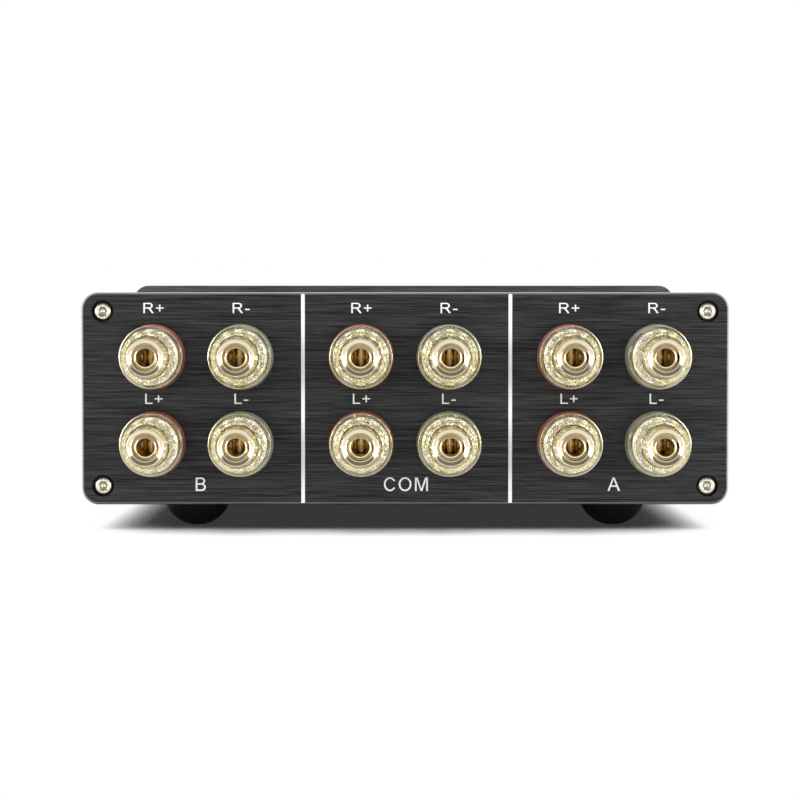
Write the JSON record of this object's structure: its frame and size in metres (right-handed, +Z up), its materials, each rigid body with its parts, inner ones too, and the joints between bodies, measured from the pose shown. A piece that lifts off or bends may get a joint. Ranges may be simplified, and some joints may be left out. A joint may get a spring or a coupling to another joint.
{
  "type": "speaker selector switch",
  "caption": "Low black aluminium box with gold binding posts in clear caps at the back and a rotary selector knob on the front, on domed rubber feet.",
  "frame": {"origin": "middle of the footprint, on the surface that the feet stand on", "axes": "+Z up, knob faces -Y, binding posts face +Y, +X to the right seen from the front"},
  "size_m": [0.151, 0.148, 0.0593],
  "materials": {
    "black_aluminium": "black anodised, brushed across the panels",
    "nickel_steel": "nickel plated",
    "dark_steel": "blackened",
    "black_rubber": "matt moulded",
    "gold_brass": "gold plated, polished",
    "tinned_brass": "tin plated",
    "red_collar": "translucent red",
    "clear_collar": "clear",
    "clear_cap": "clear moulded, slightly warm",
    "black_nylon": "moulded",
    "brown_board": "laminated board",
    "ivory_plastic": "moulded",
    "red_wire": "insulated stranded wire",
    "black_wire": "insulated stranded wire"
  },
  "bodies": {
    "case": {"case_top": "black_aluminium", "case_bottom": "black_aluminium", "rear_panel": "black_aluminium", "front_panel": "black_aluminium", "case_screws": "nickel_steel", "feet": "black_rubber", "post_cores": "gold_brass", "red_collars": "red_collar", "clear_collars": "clear_collar", "inner_bushes": "black_nylon", "post_nuts": "gold_brass", "solder_lugs": "tinned_brass", "switch_frame": "nickel_steel", "switch_nut": "nickel_steel", "wafers": "brown_board", "wafer_terminals": "tinned_brass", "tie_rods": "nickel_steel", "wires_red": "red_wire", "wires_black": "black_wire"},
    "selector": {"shaft": "nickel_steel", "rotor_discs": "ivory_plastic", "rotor_contacts": "tinned_brass", "knob": "black_aluminium", "knob_screw": "dark_steel"},
    "clamp_b_right_pos": {"clamp_ring_b_right_pos": "gold_brass"},
    "cap_b_right_pos": {"cap_insert_b_right_pos": "gold_brass", "cap_shell_b_right_pos": "clear_cap"},
    "clamp_b_right_neg": {"clamp_ring_b_right_neg": "gold_brass"},
    "cap_b_right_neg": {"cap_insert_b_right_neg": "gold_brass", "cap_shell_b_right_neg": "clear_cap"},
    "clamp_b_left_pos": {"clamp_ring_b_left_pos": "gold_brass"},
    "cap_b_left_pos": {"cap_insert_b_left_pos": "gold_brass", "cap_shell_b_left_pos": "clear_cap"},
    "clamp_b_left_neg": {"clamp_ring_b_left_neg": "gold_brass"},
    "cap_b_left_neg": {"cap_insert_b_left_neg": "gold_brass", "cap_shell_b_left_neg": "clear_cap"},
    "clamp_com_right_pos": {"clamp_ring_com_right_pos": "gold_brass"},
    "cap_com_right_pos": {"cap_insert_com_right_pos": "gold_brass", "cap_shell_com_right_pos": "clear_cap"},
    "clamp_com_right_neg": {"clamp_ring_com_right_neg": "gold_brass"},
    "cap_com_right_neg": {"cap_insert_com_right_neg": "gold_brass", "cap_shell_com_right_neg": "clear_cap"},
    "clamp_com_left_pos": {"clamp_ring_com_left_pos": "gold_brass"},
    "cap_com_left_pos": {"cap_insert_com_left_pos": "gold_brass", "cap_shell_com_left_pos": "clear_cap"},
    "clamp_com_left_neg": {"clamp_ring_com_left_neg": "gold_brass"},
    "cap_com_left_neg": {"cap_insert_com_left_neg": "gold_brass", "cap_shell_com_left_neg": "clear_cap"},
    "clamp_a_right_pos": {"clamp_ring_a_right_pos": "gold_brass"},
    "cap_a_right_pos": {"cap_insert_a_right_pos": "gold_brass", "cap_shell_a_right_pos": "clear_cap"},
    "clamp_a_right_neg": {"clamp_ring_a_right_neg": "gold_brass"},
    "cap_a_right_neg": {"cap_insert_a_right_neg": "gold_brass", "cap_shell_a_right_neg": "clear_cap"},
    "clamp_a_left_pos": {"clamp_ring_a_left_pos": "gold_brass"},
    "cap_a_left_pos": {"cap_insert_a_left_pos": "gold_brass", "cap_shell_a_left_pos": "clear_cap"},
    "clamp_a_left_neg": {"clamp_ring_a_left_neg": "gold_brass"},
    "cap_a_left_neg": {"cap_insert_a_left_neg": "gold_brass", "cap_shell_a_left_neg": "clear_cap"}
  },
  "joints": [
    {"name": "selector_turn", "type": "hinge", "parent": "case", "child": "selector", "pos_m": [0, -0.052, 0.03075], "axis": [0, -1, 0], "range_deg": [-30, 30]},
    {"name": "clamp_slide_b_right_pos", "type": "slide", "parent": "case", "child": "clamp_b_right_pos", "axis": [0, 1, 0], "range_m": [0, 0.0045]},
    {"name": "cap_turn_b_right_pos", "type": "hinge", "parent": "clamp_b_right_pos", "child": "cap_b_right_pos", "pos_m": [0.0586, 0.055, 0.04045], "axis": [0, 1, 0], "range_deg": [-1, 1621]},
    {"name": "clamp_slide_b_right_neg", "type": "slide", "parent": "case", "child": "clamp_b_right_neg", "axis": [0, 1, 0], "range_m": [0, 0.0045]},
    {"name": "cap_turn_b_right_neg", "type": "hinge", "parent": "clamp_b_right_neg", "child": "cap_b_right_neg", "pos_m": [0.0382, 0.055, 0.04045], "axis": [0, 1, 0], "range_deg": [-1, 1621]},
    {"name": "clamp_slide_b_left_pos", "type": "slide", "parent": "case", "child": "clamp_b_left_pos", "axis": [0, 1, 0], "range_m": [0, 0.0045]},
    {"name": "cap_turn_b_left_pos", "type": "hinge", "parent": "clamp_b_left_pos", "child": "cap_b_left_pos", "pos_m": [0.0586, 0.055, 0.02025], "axis": [0, 1, 0], "range_deg": [-1, 1621]},
    {"name": "clamp_slide_b_left_neg", "type": "slide", "parent": "case", "child": "clamp_b_left_neg", "axis": [0, 1, 0], "range_m": [0, 0.0045]},
    {"name": "cap_turn_b_left_neg", "type": "hinge", "parent": "clamp_b_left_neg", "child": "cap_b_left_neg", "pos_m": [0.0382, 0.055, 0.02025], "axis": [0, 1, 0], "range_deg": [-1, 1621]},
    {"name": "clamp_slide_com_right_pos", "type": "slide", "parent": "case", "child": "clamp_com_right_pos", "axis": [0, 1, 0], "range_m": [0, 0.0045]},
    {"name": "cap_turn_com_right_pos", "type": "hinge", "parent": "clamp_com_right_pos", "child": "cap_com_right_pos", "pos_m": [0.0102, 0.055, 0.04045], "axis": [0, 1, 0], "range_deg": [-1, 1621]},
    {"name": "clamp_slide_com_right_neg", "type": "slide", "parent": "case", "child": "clamp_com_right_neg", "axis": [0, 1, 0], "range_m": [0, 0.0045]},
    {"name": "cap_turn_com_right_neg", "type": "hinge", "parent": "clamp_com_right_neg", "child": "cap_com_right_neg", "pos_m": [-0.0102, 0.055, 0.04045], "axis": [0, 1, 0], "range_deg": [-1, 1621]},
    {"name": "clamp_slide_com_left_pos", "type": "slide", "parent": "case", "child": "clamp_com_left_pos", "axis": [0, 1, 0], "range_m": [0, 0.0045]},
    {"name": "cap_turn_com_left_pos", "type": "hinge", "parent": "clamp_com_left_pos", "child": "cap_com_left_pos", "pos_m": [0.0102, 0.055, 0.02025], "axis": [0, 1, 0], "range_deg": [-1, 1621]},
    {"name": "clamp_slide_com_left_neg", "type": "slide", "parent": "case", "child": "clamp_com_left_neg", "axis": [0, 1, 0], "range_m": [0, 0.0045]},
    {"name": "cap_turn_com_left_neg", "type": "hinge", "parent": "clamp_com_left_neg", "child": "cap_com_left_neg", "pos_m": [-0.0102, 0.055, 0.02025], "axis": [0, 1, 0], "range_deg": [-1, 1621]},
    {"name": "clamp_slide_a_right_pos", "type": "slide", "parent": "case", "child": "clamp_a_right_pos", "axis": [0, 1, 0], "range_m": [0, 0.0045]},
    {"name": "cap_turn_a_right_pos", "type": "hinge", "parent": "clamp_a_right_pos", "child": "cap_a_right_pos", "pos_m": [-0.0382, 0.055, 0.04045], "axis": [0, 1, 0], "range_deg": [-1, 1621]},
    {"name": "clamp_slide_a_right_neg", "type": "slide", "parent": "case", "child": "clamp_a_right_neg", "axis": [0, 1, 0], "range_m": [0, 0.0045]},
    {"name": "cap_turn_a_right_neg", "type": "hinge", "parent": "clamp_a_right_neg", "child": "cap_a_right_neg", "pos_m": [-0.0586, 0.055, 0.04045], "axis": [0, 1, 0], "range_deg": [-1, 1621]},
    {"name": "clamp_slide_a_left_pos", "type": "slide", "parent": "case", "child": "clamp_a_left_pos", "axis": [0, 1, 0], "range_m": [0, 0.0045]},
    {"name": "cap_turn_a_left_pos", "type": "hinge", "parent": "clamp_a_left_pos", "child": "cap_a_left_pos", "pos_m": [-0.0382, 0.055, 0.02025], "axis": [0, 1, 0], "range_deg": [-1, 1621]},
    {"name": "clamp_slide_a_left_neg", "type": "slide", "parent": "case", "child": "clamp_a_left_neg", "axis": [0, 1, 0], "range_m": [0, 0.0045]},
    {"name": "cap_turn_a_left_neg", "type": "hinge", "parent": "clamp_a_left_neg", "child": "cap_a_left_neg", "pos_m": [-0.0586, 0.055, 0.02025], "axis": [0, 1, 0], "range_deg": [-1, 1621]}
  ],
  "couplings": [
    {"joint": "cap_turn_b_right_pos", "follows": "clamp_slide_b_right_pos", "rad_per_m": 6283.2},
    {"joint": "cap_turn_b_right_neg", "follows": "clamp_slide_b_right_neg", "rad_per_m": 6283.2},
    {"joint": "cap_turn_b_left_pos", "follows": "clamp_slide_b_left_pos", "rad_per_m": 6283.2},
    {"joint": "cap_turn_b_left_neg", "follows": "clamp_slide_b_left_neg", "rad_per_m": 6283.2},
    {"joint": "cap_turn_com_right_pos", "follows": "clamp_slide_com_right_pos", "rad_per_m": 6283.2},
    {"joint": "cap_turn_com_right_neg", "follows": "clamp_slide_com_right_neg", "rad_per_m": 6283.2},
    {"joint": "cap_turn_com_left_pos", "follows": "clamp_slide_com_left_pos", "rad_per_m": 6283.2},
    {"joint": "cap_turn_com_left_neg", "follows": "clamp_slide_com_left_neg", "rad_per_m": 6283.2},
    {"joint": "cap_turn_a_right_pos", "follows": "clamp_slide_a_right_pos", "rad_per_m": 6283.2},
    {"joint": "cap_turn_a_right_neg", "follows": "clamp_slide_a_right_neg", "rad_per_m": 6283.2},
    {"joint": "cap_turn_a_left_pos", "follows": "clamp_slide_a_left_pos", "rad_per_m": 6283.2},
    {"joint": "cap_turn_a_left_neg", "follows": "clamp_slide_a_left_neg", "rad_per_m": 6283.2}
  ]
}
